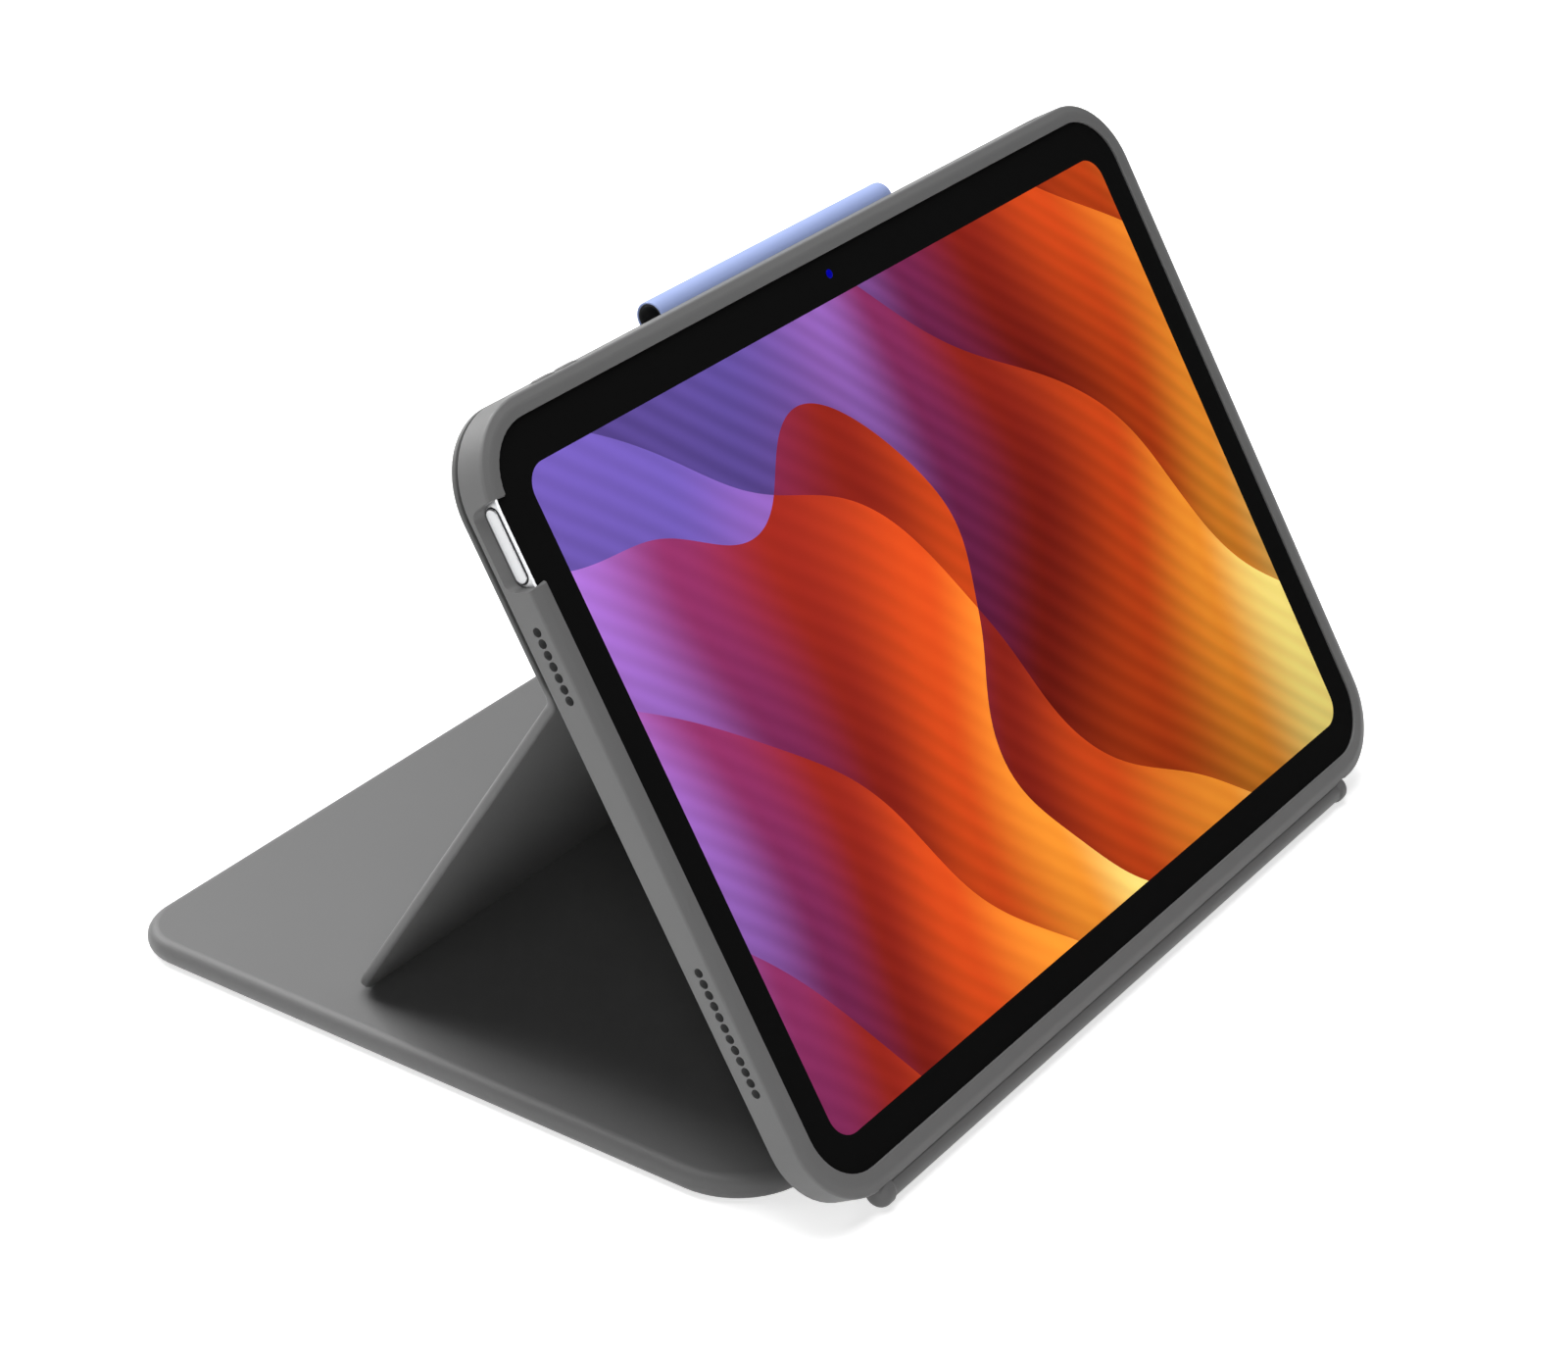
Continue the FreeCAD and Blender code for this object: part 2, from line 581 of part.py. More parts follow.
def key_frame():
    """Face of the deck: rim and palm rest at table height, and a lower well with the key openings."""
    places, keys_end = key_places()
    keys_start = DECK_FRONT + KEYS_FROM_HINGE
    size, corner = 2 * DECK_WALL + 0.2, DECK_R - DECK_WALL
    well_w = ROW_UNITS * KEY_PITCH + 2 * WELL_MARGIN - KEY_GAP
    well_h = keys_end - keys_start + 2 * WELL_MARGIN - KEY_GAP
    well_y = (keys_start + keys_end) / 2
    layers = []
    for z0, z1 in ((0, WELL_DEPTH), (WELL_DEPTH, FRAME_T)):
        holes = [outline(PAD_W + 1.0, PAD_H + 1.0, 3.5, z0, y=pad_place())]
        if z0 == 0:
            holes.append(outline(well_w, well_h, 4.0, z0, y=well_y))
        else:
            for _, x, y, width, depth in places:
                grow = 2 * KEY_CLEAR
                holes.append(outline(width + grow, depth + grow, KEY_R + KEY_CLEAR, z0, x, y))
        rim = outline(DECK_W - size, DECK_H - size, corner, z0, y=DECK_MID, front=DECK_FRONT_R - DECK_WALL)
        layers.append(plate(rim, holes, z1 - z0))
    return layers[0].fuse(layers[1])


def deck():
    shell = block(DECK_W, DECK_H, DECK_R, 0, DECK_T, y=DECK_MID, front=DECK_FRONT_R)
    shell = shell.makeFillet(DECK_EDGE_R, level_edges(shell, 0) + level_edges(shell, DECK_T))
    size, corner, front = 2 * DECK_WALL, DECK_R - DECK_WALL, DECK_FRONT_R - DECK_WALL
    room_top = DECK_T - DECK_TOP_T
    room = block(DECK_W - size, DECK_H - size, corner, -1, room_top, y=DECK_MID, front=front)
    plate_low = room_top - 0.6
    sheet_low = plate_low - 0.2
    plate_w, plate_h = DECK_W - size - 0.4, DECK_H - size - 0.4
    support = block(plate_w, plate_h, corner, plate_low, room_top, y=DECK_MID, front=front)
    places, keys_end = key_places()
    sheet_h = keys_end - DECK_FRONT - KEYS_FROM_HINGE
    sheet_y = DECK_FRONT + KEYS_FROM_HINGE + sheet_h / 2
    sheet = block(ROW_UNITS * KEY_PITCH, sheet_h, 2.0, sheet_low, plate_low, y=sheet_y)
    dome_low = KEY_TOP_Z + KEY_T + KEY_TRAVEL + 0.2
    domes = []
    for _, x, y, width, depth in places:
        foot_r = min(2.4, depth / 2 - 0.3)
        domes.append(Part.makeCone(foot_r * 0.6, foot_r, sheet_low - dome_low, vec(x, y, dome_low)))
    board = block(70, 9, 1.0, plate_low - 1.2, plate_low, y=pad_place() + PAD_H / 2 + 8)
    magnets = []
    for x in DECK_MAGNET_X:
        magnets.append(Part.makeCylinder(MAGNET_R, 1.8, vec(x, pad_place() + 10, plate_low - 1.8)))
    pad = block(PAD_W, PAD_H, 3.0, 0.3, 1.6, y=pad_place())
    pad = pad.makeFillet(0.3, level_edges(pad, 0.3))
    return {
        "deck_shell": shell.cut(room),
        "key_frame": key_frame(),
        "deck_plate": support,
        "circuit_sheet": sheet,
        "key_domes": Part.makeCompound(domes),
        "controller_board": board,
        "deck_magnets": Part.makeCompound(magnets),
        "trackpad": pad,
    }


def build():
    loop_skin, loop_lining = pencil_loop()
    bar, bar_magnets, bar_ends = docking_bar()
    contact_block, contact_pins = contacts()
    strip, cable = hinge_strip()
    sensors = [disc_in_glass(*disc) for disc in front_discs()[1:]]
    nodes = {
        "tray_shell": tray_shell(),
        "back_cover": back_cover(),
        "tray_lining": tray_lining(),
        "pencil_loop_skin": loop_skin,
        "pencil_loop_lining": loop_lining,
        "tablet_body": tablet_body(),
        "tablet_glass": tablet_glass(),
        "tablet_display": tablet_display(),
        "tablet_front_camera": lean(disc_in_glass(*front_discs()[0])),
        "tablet_sensor_windows": lean(Part.makeCompound(sensors)),
        "tablet_rear_camera": rear_camera(),
        "tablet_power_button": power_button(),
        "docking_bar": bar,
        "docking_bar_ends": bar_ends,
        "docking_bar_magnets": bar_magnets,
        "contact_block": contact_block,
        "contact_pins": contact_pins,
        "hinge_strip": strip,
        "ribbon_cable": cable,
    }
    for name, x in zip(("up", "down"), VOLUME_X):
        cover, key = volume_parts(x)
        nodes["volume_" + name + "_cover"] = cover
        nodes["tablet_volume_" + name + "_key"] = key
    nodes.update(kickstand())
    nodes.update(deck())
    nodes.update(keys())
    for node, shape in nodes.items():
        save(node, shape)
    print("nodes", len(nodes))
    print("flap axis", tray_point(FLAP_AXIS_UP, FLAP_AXIS_OUT), "open", flap_open_angle())
    print("deck axis", DECK_AXIS_Y, DECK_AXIS_Z, "bar axis", BAR_Y, BAR_Z)
    box = Part.makeCompound(list(nodes.values())).BoundBox
    print("box", box)


build()
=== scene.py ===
"""Looks of a folio keyboard case for a tablet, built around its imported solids.

The case stands for watching: the tray with the tablet leans back, the lower half of its back skin is
bent out as a kickstand, and the keyboard deck lies behind with its keys on the table.
"""

import json
import math

import bmesh
import bpy
import numpy as np
from bpy.props import FloatProperty, FloatVectorProperty, PointerProperty
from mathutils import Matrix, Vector


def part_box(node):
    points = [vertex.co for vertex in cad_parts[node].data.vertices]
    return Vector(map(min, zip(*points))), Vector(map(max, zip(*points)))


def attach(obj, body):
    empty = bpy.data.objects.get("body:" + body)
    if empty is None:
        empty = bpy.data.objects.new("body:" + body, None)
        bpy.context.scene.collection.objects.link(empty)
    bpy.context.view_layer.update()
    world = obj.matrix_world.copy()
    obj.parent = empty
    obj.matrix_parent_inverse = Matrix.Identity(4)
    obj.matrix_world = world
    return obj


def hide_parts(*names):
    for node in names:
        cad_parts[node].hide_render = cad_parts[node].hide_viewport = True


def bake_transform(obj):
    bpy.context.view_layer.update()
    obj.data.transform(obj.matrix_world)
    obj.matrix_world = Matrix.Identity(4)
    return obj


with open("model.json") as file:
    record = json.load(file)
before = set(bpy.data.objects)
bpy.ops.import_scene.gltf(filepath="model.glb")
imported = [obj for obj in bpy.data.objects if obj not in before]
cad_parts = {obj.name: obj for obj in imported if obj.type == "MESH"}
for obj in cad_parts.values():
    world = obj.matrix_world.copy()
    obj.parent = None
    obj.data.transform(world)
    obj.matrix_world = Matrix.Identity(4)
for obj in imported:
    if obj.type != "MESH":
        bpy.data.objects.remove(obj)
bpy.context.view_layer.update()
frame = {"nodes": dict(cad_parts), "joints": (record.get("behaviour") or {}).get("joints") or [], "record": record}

bl_info = {
    "name": "Tablet keyboard case",
    "version": (1, 0, 0),
    "blender": (4, 5, 0),
    "location": "3D View > Sidebar > Case",
    "description": "Builds the skins, small parts and finishes of a folio keyboard case",
    "category": "Object",
}

NODES = frame["nodes"]
JOINTS = {joint["name"]: joint for joint in frame["joints"]}

# The tray's own axes: up the screen, and out of the screen. Both lie in the YZ plane.
UP = -np.array(JOINTS["volume_up_press"]["axis"])
OUT = np.array([0.0, -UP[2], UP[1]])
TILT = math.atan2(UP[2], UP[1])
HINGE = np.array(JOINTS["kickstand_fold"]["pos_m"])
BAR = np.array(JOINTS["bar_fold"]["pos_m"])
DECK_EDGE = np.array(JOINTS["deck_fold"]["pos_m"])
ACROSS = np.array([1.0, 0.0, 0.0])

WELD = 1e-7
CREASE_ANGLE = math.radians(35)
FLOOR_Z = -0.0001
FLOOR_GLOW = 0.65
BLOTCH = 0.035
TONE_SPREAD = 0.02
ROUGH_SPREAD = 0.05

BAR_STEP = 0.001
COVER_EDGE = 0.0005
COVER_CROWN = 0.0001
BUTTON_EDGE = 0.00035
BUTTON_CROWN = 0.00003
SPEAKER_FILM = 0.00008
CAMERA_HOLE_R = 0.0085
CAMERA_HOLE_DEPTH = 0.012
LINING_SHORT = 0.0001
KEY_FACE_TONE = 0.8

# How far the docking bar's ends are rounded, as a share of their radius
BAR_END_ROUND = 0.75

# Hinge strip's two sheets: where the first starts from the bar's axis, how far the second reaches into the
# deck and drops there, how far both lap past the middle, the second's share of the thickness, and the rate
# and the delay of its climb
STRIP_FROM_BAR = 0.0012
STRIP_IN_DECK = 0.0016
STRIP_SINK = 0.0004
STRIP_LAP = 0.0012
STRIP_THIN = 0.96
STRIP_RISE_RATE = 1.6
STRIP_RISE_WAIT = 0.5

# Lenses: radius and half thickness, how far the rear one stands back, and the round edge and swell of both
FRONT_LENS_R = 0.0011
FRONT_LENS_TOP = 0.00042
REAR_LENS_R = 0.0041
REAR_LENS_TOP = 0.0003
REAR_LENS_BACK = 0.0010
LENS_EDGE = 0.0001
LENS_CROWN = 0.00012

# Rows of speaker holes in each side wall: name, middle up the tray, length
SPEAKER_ROWS = (("upper", 0.1331, 0.0206), ("lower", 0.0479, 0.0336))

# Screen picture: scale, bend and profile of its ribbons, their weights in hue and shade, its glow, the plain
# colour under it, and its colours by position
FOLDS = (0.16, 3.2, "SAW")
PLEATS = (0.62, 5.0, "SAW")
THREADS = (7.0, 14.0, "SIN")
RIBBON_WANDER = 0.55
HUE_SLOPE = (0.26, -0.22, 0)
HUE_START = 0.33
FOLD_HUE = 0.34
PLEAT_HUE = 0.10
FOLD_SHADE = (0.35, 0.8)
PLEAT_SHADE = 0.42
THREAD_SHADE = 0.10
SCREEN_GLOW = 0.45
SCREEN_PLAIN = (0.5, 0.2, 0.1)
PICTURE_COLOURS = (
    (0.0, (0.22, 0.14, 0.62)),
    (0.18, (0.40, 0.17, 0.66)),
    (0.33, (0.26, 0.03, 0.12)),
    (0.47, (0.30, 0.02, 0.012)),
    (0.66, (0.68, 0.07, 0.012)),
    (0.84, (0.95, 0.30, 0.03)),
    (1.0, (1.0, 0.80, 0.22)),
)

# Floor and camera
FLOOR_TONE = (0.8, 0.8, 0.8)
FLOOR_RINGS = (0.0, 0.5, 2.0, 6.0)
SENSOR_WIDTH = 36

# Lamps: name, place and width
LAMPS = (
    ("top_lamp", (0.0, 0.1, 1.5), 1.0),
    ("back_lamp", (0.1, 1.2, 1.0), 1.0),
    ("left_lamp", (-1.6, 0.1, 0.3), 0.7),
    ("eye_lamp", (-1.1, -0.85, 0.65), 0.4),
    ("front_lamp", (-0.3, -1.5, 0.5), 1.0),
)
LAMP_AIM = Vector((0, 0, 0.05))


def box_middle(node):
    """Middle of a CAD node's box."""
    low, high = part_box(node)
    return np.array((low + high) / 2)


def reach_size(node, way):
    """Size of a CAD node along a direction."""
    mesh = NODES[node].data
    points = np.empty(3 * len(mesh.vertices))
    mesh.vertices.foreach_get("co", points)
    return np.ptp(points.reshape(-1, 3) @ way)


class CaseSizes(bpy.types.PropertyGroup):
    """Sizes of the soft and small pieces"""

    hinge_up: FloatProperty(
        name="Hinge height", description="From the tray's bottom edge up to the kickstand's hinge",
        default=0.1255, unit="LENGTH")
    hinge_out: FloatProperty(
        name="Hinge depth", description="From the tray's back to the hinge, negative behind it",
        default=-0.0022, unit="LENGTH")
    cover_top: FloatProperty(
        name="Cover top", description="From the tray's bottom edge up to the back cover's top edge",
        default=0.1861, unit="LENGTH")
    cover_half: FloatProperty(
        name="Cover half width", description="Half the width of the back cover",
        default=0.12645, unit="LENGTH")
    cover_corner: FloatProperty(
        name="Cover corner", description="Radius of the back cover's corners", default=0.0192, unit="LENGTH")
    cover_thick: FloatProperty(
        name="Cover thickness", description="Thickness of the back cover", default=0.0011, unit="LENGTH")
    cover_back: FloatProperty(
        name="Cover back", description="From the tray's back to the back cover's outer face",
        default=0.0016, unit="LENGTH")
    flap_thick: FloatProperty(
        name="Flap thickness", description="Thickness of the kickstand flap", default=0.0025, unit="LENGTH")
    flap_length: FloatProperty(
        name="Flap length", description="From the hinge to the flap's foot", default=0.1234, unit="LENGTH")
    flap_half_top: FloatProperty(
        name="Flap half width, top", description="Half the flap's width at the hinge",
        default=0.1245, unit="LENGTH")
    flap_half_foot: FloatProperty(
        name="Flap half width, foot", description="Half the flap's width at its foot",
        default=0.117, unit="LENGTH")
    flap_corner: FloatProperty(
        name="Flap corner", description="Radius of the corners at the flap's foot",
        default=0.007, unit="LENGTH")
    bend_radius: FloatProperty(
        name="Bend radius", description="Radius of the bend between back cover and flap",
        default=0.007, unit="LENGTH")
    loop_half: FloatProperty(
        name="Loop half length", description="Half the length of the pencil loop",
        default=0.0455, unit="LENGTH")
    loop_height: FloatProperty(
        name="Loop height", description="Height of the pencil loop up the back", default=0.015, unit="LENGTH")
    loop_depth: FloatProperty(
        name="Loop depth", description="Depth of the pencil loop behind the back cover",
        default=0.0076, unit="LENGTH")
    loop_skin: FloatProperty(
        name="Loop skin", description="Thickness of the loop's blue skin", default=0.0005, unit="LENGTH")
    loop_lining: FloatProperty(
        name="Loop lining", description="Thickness of the loop's dark lining", default=0.00045, unit="LENGTH")
    bar_radius: FloatProperty(
        name="Bar radius", description="Radius of the docking bar", default=0.0029, unit="LENGTH")
    bar_end_radius: FloatProperty(
        name="Bar end radius", description="Radius of the docking bar's ends", default=0.0034, unit="LENGTH")
    bar_end_length: FloatProperty(
        name="Bar end length", description="Length of each thicker end", default=0.004, unit="LENGTH")
    strip_half: FloatProperty(
        name="Strip half width", description="Half the width of the hinge strip",
        default=0.0985, unit="LENGTH")
    strip_thick: FloatProperty(
        name="Strip thickness", description="Thickness of the hinge strip", default=0.0012, unit="LENGTH")
    speaker_x: FloatProperty(
        name="Speaker film place", description="From the middle to the film behind the speaker holes",
        default=0.12438, unit="LENGTH")
    speaker_out: FloatProperty(
        name="Speaker height", description="From the tray's back to the middle of the speaker holes",
        default=0.0048, unit="LENGTH")
    speaker_width: FloatProperty(
        name="Speaker film width", description="Width of the film behind the holes",
        default=0.003, unit="LENGTH")


class CaseColours(bpy.types.PropertyGroup):
    """Colours of the finishes"""

    case: FloatVectorProperty(
        name="Case", description="Moulded tray", subtype="COLOR", default=(0.19, 0.19, 0.19))
    skin: FloatVectorProperty(
        name="Skin", description="Soft outer skins", subtype="COLOR", default=(0.155, 0.155, 0.155))
    keys: FloatVectorProperty(
        name="Keys", description="Keycaps", subtype="COLOR", default=(0.13, 0.13, 0.133))
    loop: FloatVectorProperty(
        name="Pencil loop", description="Skin of the pencil loop", subtype="COLOR",
        default=(0.36, 0.45, 0.78))
    lining: FloatVectorProperty(
        name="Lining", description="Microfibre linings", subtype="COLOR", default=(0.035, 0.035, 0.037))
    metal: FloatVectorProperty(
        name="Metal", description="Tablet body and buttons", subtype="COLOR", default=(0.56, 0.565, 0.575))
    glass: FloatVectorProperty(
        name="Glass", description="Border of the tablet's glass", subtype="COLOR",
        default=(0.008, 0.008, 0.008))
    lens: FloatVectorProperty(
        name="Lens", description="Coating of the front camera", subtype="COLOR", default=(0.0, 0.0, 0.6))


class CaseStage(bpy.types.PropertyGroup):
    """Camera, lamps and floor"""

    eye: FloatVectorProperty(
        name="Camera", description="Place of the camera", subtype="XYZ", unit="LENGTH",
        default=(-0.6168, -0.4364, 0.4624))
    look: FloatVectorProperty(
        name="Look", description="Direction that the camera looks in", subtype="DIRECTION",
        default=(0.7171, 0.5073, -0.4780))
    lens: FloatProperty(
        name="Lens", description="Focal length of the camera", default=80.9, unit="CAMERA")
    top_lamp: FloatProperty(
        name="Top lamp", description="Power of the lamp above", default=16.0, unit="POWER")
    back_lamp: FloatProperty(
        name="Back lamp", description="Power of the lamp behind", default=20.0, unit="POWER")
    left_lamp: FloatProperty(
        name="Left lamp", description="Power of the lamp on the left", default=2.5, unit="POWER")
    eye_lamp: FloatProperty(
        name="Eye lamp", description="Power of the lamp beside the camera", default=3.0, unit="POWER")
    front_lamp: FloatProperty(
        name="Front lamp", description="Power of the lamp in front", default=0.5, unit="POWER")
    sky: FloatProperty(
        name="Sky", description="Strength of the even light from all round", default=0.04, subtype="FACTOR")


# Mesh making

def tray_origin(sizes):
    """Point where the tray's bottom edge meets its back plane."""
    return HINGE - sizes.hinge_up * UP - sizes.hinge_out * OUT


def in_tray(sizes, x, up, out):
    """Part-frame points of numbers or arrays given in the tray's own axes."""
    x, up, out = np.broadcast_arrays(x, up, out)
    return tray_origin(sizes) + x[..., None] * ACROSS + up[..., None] * UP + out[..., None] * OUT


def quads(rows, columns, wrap_rows=False):
    """Corner numbers of the faces of a grid whose columns close on themselves."""
    row = np.arange(rows if wrap_rows else rows - 1)[:, None]
    column = np.arange(columns)[None, :]
    after, beside = (row + 1) % rows, (column + 1) % columns
    row, after = row * columns, after * columns
    corners = [row + column, row + beside, after + beside, after + column]
    return np.stack(corners, axis=-1).reshape(-1, 4)


def running_length(line):
    """Distance along a line of points, from its first point."""
    steps = np.linalg.norm(np.diff(line, axis=0), axis=1)
    return np.concatenate([[0.0], np.cumsum(steps)])


def surface(name, points, material, wrap_rows=False):
    """Closed surface through a grid of points. Rows that shrink to a line or a point are welded shut.
    The UV map holds the distance along the middle row and along the first column, in metres."""
    rows, columns = points.shape[:2]
    faces = quads(rows, columns, wrap_rows)
    mesh = bpy.data.meshes.new(name)
    mesh.from_pydata(points.reshape(-1, 3).tolist(), [], faces.tolist())
    u, v = running_length(points[rows // 2]), running_length(points[:, 0])
    uv = np.stack([u[faces % columns], v[faces // columns]], axis=-1)
    mesh.uv_layers.new(name="UVMap").data.foreach_set("uv", uv.ravel())
    work = bmesh.new()
    work.from_mesh(mesh)
    bmesh.ops.remove_doubles(work, verts=work.verts, dist=WELD)
    bmesh.ops.dissolve_degenerate(work, edges=work.edges, dist=WELD)
    bmesh.ops.recalc_face_normals(work, faces=work.faces)
    work.to_mesh(mesh)
    work.free()
    mesh.polygons.foreach_set("use_smooth", np.ones(len(mesh.polygons), bool))
    mesh.materials.append(material)
    piece = bpy.data.objects.new(name, mesh)
    bpy.context.scene.collection.objects.link(piece)
    return piece


def eased(share):
    """Smooth step from 0 to 1."""
    share = np.clip(share, 0, 1)
    return share * share * (3 - 2 * share)


def round_end(distance, radius):
    """Height of a quarter circle of the given radius at a distance from its foot, level after the radius."""
    share = np.clip(1 - distance / radius, 0, 1)
    return radius * np.sqrt(1 - share * share)


def round_steps(radius, count):
    """Distances from the foot of a quarter circle that step evenly round it."""
    return radius * (1 - np.cos(np.linspace(0, math.pi / 2, count)))


def pill_sheet(path, normal, half_width, half_thick, across=48, around=10):
    """Closed sheet: a pill section carried along a path in the YZ plane. At each path point the section's
    long sides are straight along X and half_thick from the path, and its edges are half circles."""
    flat = np.linspace(-1, 1, across)
    turn = np.linspace(math.pi / 2, -math.pi / 2, around + 2)[1:-1]
    rim, side = np.ones(around), np.ones(across)
    share = np.concatenate([flat, rim, flat[::-1], -rim])
    edge = np.concatenate([0 * side, np.cos(turn), 0 * side, -np.cos(turn)])
    lift = np.concatenate([side, np.sin(turn), -side, -np.sin(turn)])
    x = (half_width - half_thick)[:, None] * share + half_thick[:, None] * edge
    rise = (half_thick[:, None] * lift)[..., None]
    return x[..., None] * ACROSS + path[:, None] + rise * normal[:, None]


def pill_rings(half_straight, radii, count):
    """Outlines of a pill, one per radius: two half circles joined by straight sides."""
    turn = np.linspace(-math.pi / 2, math.pi / 2, count)
    turn = np.concatenate([turn, turn + math.pi])
    shift = np.repeat([half_straight, -half_straight], count)
    radii = np.asarray(radii)[:, None]
    return np.stack([shift + radii * np.cos(turn), radii * np.sin(turn)], axis=-1)


def domed_pill(middle, along, beside, length, width, profile, count=24):
    """Closed cap on a pill outline. The profile gives each ring's height along the outward normal and how
    far it is drawn in. The first and last rings are drawn in to a line, which closes the cap."""
    heights, insets = profile
    rings = pill_rings((length - width) / 2, width / 2 - insets, count)
    lift = heights[:, None, None] * np.cross(along, beside)
    return middle + rings[..., :1] * along + rings[..., 1:] * beside + lift


def cap_profile(width, foot, top, edge, crown=0.0, steps=8):
    """Heights and insets of a cap: closed foot, side, round edge, and a top that swells by the crown."""
    turn = np.linspace(0, math.pi / 2, steps)
    inward = np.linspace(0, 1, steps)[1:]
    swell = top + crown * (1 - (1 - inward) ** 2)
    heights = np.concatenate([[foot, foot], top - edge + edge * np.sin(turn), swell])
    insets = np.concatenate([[width / 2, 0], edge - edge * np.cos(turn), edge + (width / 2 - edge) * inward])
    return heights, insets


def cut_hole(piece, middle, axis, beside, radius, depth):
    """Cuts a round hole of the given depth, half to each side of its middle, and creases its rims."""
    profile = np.array([-1, -1, 1, 1]) * depth / 2, np.array([1, 0, 0, 1]) * radius
    points = domed_pill(middle, beside, np.cross(axis, beside), 2 * radius, 2 * radius, profile, count=32)
    cutter = surface("hole_cutter", points, piece.data.materials[0])
    change = piece.modifiers.new("hole", "BOOLEAN")
    change.operation, change.solver, change.object = "DIFFERENCE", "EXACT", cutter
    bpy.context.view_layer.update()
    cut = bpy.data.meshes.new_from_object(piece.evaluated_get(bpy.context.evaluated_depsgraph_get()))
    piece.modifiers.clear()
    piece.data = cut
    cut.set_sharp_from_angle(angle=CREASE_ANGLE)
    bpy.data.objects.remove(cutter)


# Finishes

def new_material(name, colour, roughness, metallic=0.0, specular=0.5):
    """Material with one principled shader, with its node tree and the shader."""
    material = bpy.data.materials.new(name)
    material.use_nodes = True
    shader = material.node_tree.nodes["Principled BSDF"]
    shader.inputs["Base Color"].default_value = (*colour, 1)
    shader.inputs["Roughness"].default_value = roughness
    shader.inputs["Metallic"].default_value = metallic
    shader.inputs["Specular IOR Level"].default_value = specular
    return material, material.node_tree, shader


def add_node(tree, kind, links, **values):
    """Adds a node, sets its properties or inputs by name, and links the given outputs to its inputs."""
    node = tree.nodes.new(kind)
    for key, value in values.items():
        if key in node.bl_rna.properties:
            setattr(node, key, value)
        else:
            node.inputs[key.replace("_", " ")].default_value = value
    for key, output in links.items():
        tree.links.new(output, node.inputs[key])
    return node


def noise(tree, place, size, detail=2.0):
    """Noise whose blotches are about the given size in metres."""
    node = add_node(tree, "ShaderNodeTexNoise", {"Vector": place}, Scale=1 / size, Detail=detail)
    return node.outputs["Fac"]


def ranged(tree, value, low, high):
    """Value from 0 to 1 spread from low to high."""
    return add_node(tree, "ShaderNodeMapRange", {"Value": value}, To_Min=low, To_Max=high).outputs["Result"]


def grained(name, colour, roughness, grain, depth, follow=False, metallic=0.0, sheen=0.0, specular=0.5):
    """Matte surface with a fine grain. Fine noise drives bump and roughness, and slow noise shades the
    colour. The grain follows the sheet's own UV where follow is set, and else the object's coordinates."""
    known = bpy.data.materials.get(name)
    if known:
        return known
    material, tree, shader = new_material(name, colour, roughness, metallic, specular)
    place = add_node(tree, "ShaderNodeTexCoord", {}).outputs["UV" if follow else "Object"]
    fine = noise(tree, place, grain, 3.0)
    tone = ranged(tree, noise(tree, place, BLOTCH), 1 - TONE_SPREAD, 1 + TONE_SPREAD)
    paint = add_node(tree, "ShaderNodeVectorMath", {"Scale": tone}, operation="SCALE")
    paint.inputs[0].default_value = colour
    tree.links.new(paint.outputs["Vector"], shader.inputs["Base Color"])
    dull = ranged(tree, fine, roughness - ROUGH_SPREAD, roughness + ROUGH_SPREAD)
    tree.links.new(dull, shader.inputs["Roughness"])
    bump = add_node(tree, "ShaderNodeBump", {"Height": fine}, Strength=0.4, Distance=depth)
    tree.links.new(bump.outputs["Normal"], shader.inputs["Normal"])
    shader.inputs["Sheen Weight"].default_value = sheen
    return material


def moulded(colours):
    """Fine matte moulded plastic of the tray."""
    return grained("moulded_grey", colours.case, roughness=0.5, grain=0.0004, depth=0.00003)


def soft_skin(colours):
    """Soft matte skin of the covers, whose grain follows the sheet."""
    return grained("soft_skin", colours.skin, roughness=0.52, grain=0.0005, depth=0.00004, follow=True,
                   sheen=0.05)


def microfibre(name, colour):
    """Dark napped lining."""
    return grained(name, colour, roughness=0.9, grain=0.0006, depth=0.00008, sheen=0.15, specular=0.2)


def blasted_metal(colours):
    """Fine bead-blasted aluminium."""
    return grained("blasted_aluminium", colours.metal, roughness=0.34, grain=0.00025, depth=0.00001,
                   metallic=1.0)


def polished(name, colour, roughness, specular=0.5):
    """Smooth dark glass with faint wipe marks in its gloss."""
    return grained(name, colour, roughness + ROUGH_SPREAD, grain=0.03, depth=0.0, specular=specular)


def colour_ramp(tree, value, stops):
    """Colour that eases through the given stops of position and colour."""
    ramp = add_node(tree, "ShaderNodeValToRGB", {"Fac": value})
    ramp.color_ramp.interpolation = "EASE"
    while len(ramp.color_ramp.elements) < len(stops):
        ramp.color_ramp.elements.new(1.0)
    for element, (position, colour) in zip(ramp.color_ramp.elements, stops):
        element.position, element.color = position, (*colour, 1)
    return ramp.outputs["Color"]


def mixed(tree, first, second, weight):
    """Sum of one value and a weighted second one."""
    node = add_node(tree, "ShaderNodeMath", {0: second, 2: first}, operation="MULTIPLY_ADD")
    node.inputs[1].default_value = weight
    return node.outputs[0]


def ribbons(tree, place, scale, bend, profile):
    """Bands across the diagonal, bent by noise."""
    wave = add_node(tree, "ShaderNodeTexWave", {"Vector": place}, bands_direction="DIAGONAL",
                    wave_profile=profile, Scale=scale, Distortion=bend, Detail=1.0,
                    Detail_Scale=RIBBON_WANDER / scale, Detail_Roughness=0.4)
    return wave.outputs["Fac"]


